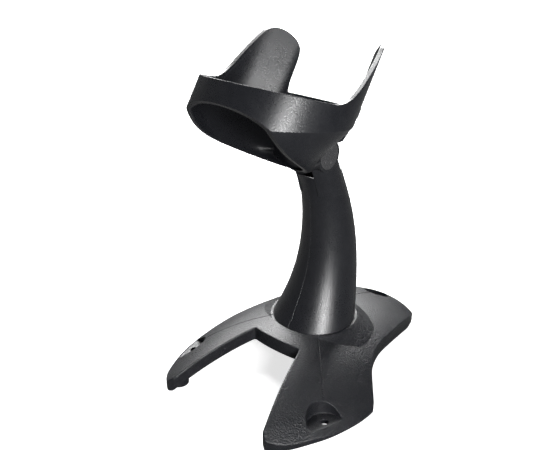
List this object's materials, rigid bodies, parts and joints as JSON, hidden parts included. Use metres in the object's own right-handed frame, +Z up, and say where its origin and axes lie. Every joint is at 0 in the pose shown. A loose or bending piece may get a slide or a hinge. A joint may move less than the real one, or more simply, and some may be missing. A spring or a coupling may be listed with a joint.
{
  "type": "barcode scanner stand",
  "caption": "Hands-free stand for a handheld barcode scanner: arched lobed foot, curved column and a tilting cup cradle with two wings.",
  "frame": {"origin": "on the table plane, under the middle of the footprint; the column foot is centred 3.4 mm behind it, at y = +3.4 mm", "axes": "+Z up; +Y to the rear lobe, away from the notch between the two front lobes; +X to the right seen from behind the stand; symmetric about x = 0"},
  "size_m": [0.1256, 0.1678, 0.1957],
  "materials": {
    "base_plastic": "fine grained black ABS",
    "column_plastic": "fine grained black ABS",
    "cover_plastic": "fine grained black ABS",
    "cradle_plastic": "fine grained black ABS, satin",
    "cap_plastic": "satin black ABS",
    "pad_rubber": "moulded black rubber",
    "plated_steel": "zinc plated",
    "spring_steel": "oiled spring steel",
    "bush_plastic": "natural acetal",
    "friction_disc": "pressed fibre friction disc",
    "magnet_nickel": "nickel plated"
  },
  "bodies": {
    "stand": {"base_shell": "base_plastic", "foot_pads": "pad_rubber", "clamp_plate": "plated_steel", "foot_screws": "plated_steel", "column_half_left": "column_plastic", "column_half_right": "column_plastic", "column_rear_cover": "cover_plastic", "column_screws": "plated_steel", "hinge_bolt": "plated_steel", "hinge_nut": "plated_steel", "hinge_sleeve": "plated_steel", "friction_washers": "friction_disc", "thrust_washers": "plated_steel", "disc_spring": "spring_steel", "hinge_cap_left": "cap_plastic", "hinge_cap_right": "cap_plastic"},
    "cradle": {"cradle_body": "cradle_plastic", "hinge_bushes": "bush_plastic", "presence_magnet": "magnet_nickel", "magnet_retainer": "bush_plastic"}
  },
  "joints": [
    {"name": "cradle_tilt", "type": "hinge", "parent": "stand", "child": "cradle", "pos_m": [0, -0.0036, 0.135], "axis": [-1, 0, 0], "range_deg": [-6, 45]}
  ]
}
